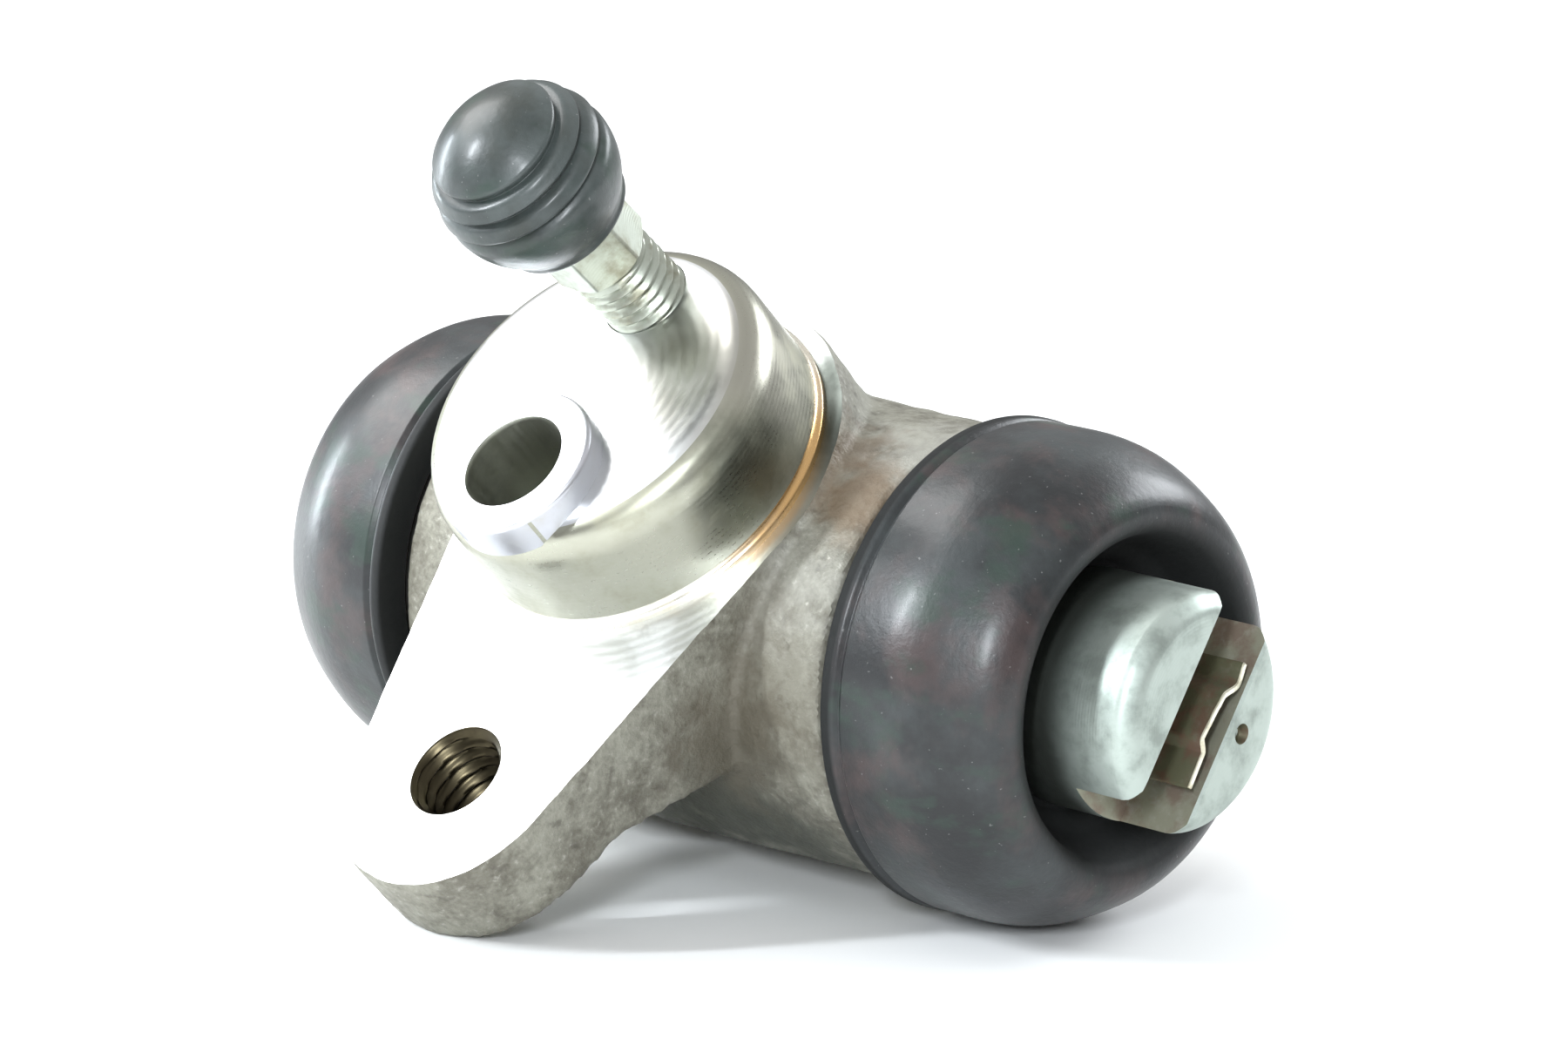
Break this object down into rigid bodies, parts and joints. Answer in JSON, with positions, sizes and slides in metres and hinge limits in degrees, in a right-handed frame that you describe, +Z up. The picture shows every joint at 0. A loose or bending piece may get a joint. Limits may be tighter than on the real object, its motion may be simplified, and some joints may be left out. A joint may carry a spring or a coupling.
{
  "type": "wheel cylinder",
  "caption": "Drum brake wheel cylinder: cast barrel with a round boss, ear, inlet port and capped bleeder, and a slotted piston in a rubber boot at each end.",
  "frame": {"origin": "bottom centre of the part's box, as it rests on its two boots and the ear's tip", "axes": "+X along the bore, +Z up at rest, with the boss and the bleeder leaning towards -Y"},
  "size_m": [0.0906, 0.0598, 0.0639],
  "materials": {
    "cast_iron": "rough cast, with machined faces at the pad, boss top and ring",
    "boot_rubber": "glossy moulded rubber",
    "cap_rubber": "satin moulded rubber",
    "seal_rubber": "satin",
    "piston_zinc": "pale green zinc plate, turned",
    "bleeder_zinc": "pale yellowish zinc plate",
    "leaf_steel": "bright strip",
    "spring_steel": "drawn wire",
    "pressed_steel": "pressed sheet"
  },
  "bodies": {
    "cylinder": {"cylinder_body": "cast_iron", "return_spring": "spring_steel", "left_boot": "boot_rubber", "right_boot": "boot_rubber"},
    "right_cup_set": {"right_cup": "seal_rubber", "right_cup_expander": "pressed_steel"},
    "left_cup_set": {"left_cup": "seal_rubber", "left_cup_expander": "pressed_steel"},
    "right_piston_set": {"right_piston": "piston_zinc", "right_leaf_spring": "leaf_steel"},
    "left_piston_set": {"left_piston": "piston_zinc", "left_leaf_spring": "leaf_steel"},
    "bleeder": {"bleeder_screw": "bleeder_zinc"},
    "dust_cap": {"bleeder_dust_cap": "cap_rubber"}
  },
  "joints": [
    {"name": "right_cup_slide", "type": "slide", "parent": "cylinder", "child": "right_cup_set", "axis": [1, 0, 0], "range_m": [-0.003, 0.005], "deforming": ["return_spring", "right_boot"]},
    {"name": "left_cup_slide", "type": "slide", "parent": "cylinder", "child": "left_cup_set", "axis": [-1, 0, 0], "range_m": [-0.003, 0.005], "deforming": ["return_spring", "left_boot"]},
    {"name": "right_piston_turn", "type": "hinge", "parent": "right_cup_set", "child": "right_piston_set", "pos_m": [0.03, 0.01066, 0.01925], "axis": [1, 0, 0], "continuous": true},
    {"name": "left_piston_turn", "type": "hinge", "parent": "left_cup_set", "child": "left_piston_set", "pos_m": [-0.03, 0.01066, 0.01925], "axis": [-1, 0, 0], "continuous": true},
    {"name": "bleeder_turn", "type": "hinge", "parent": "cylinder", "child": "bleeder", "pos_m": [0, -0.00312, 0.04598], "axis": [0, -0.7624, 0.6471], "range_deg": [0, 360]},
    {"name": "dust_cap_pull", "type": "slide", "parent": "bleeder", "child": "dust_cap", "axis": [0, -0.7624, 0.6471], "range_m": [0, 0.012]}
  ]
}
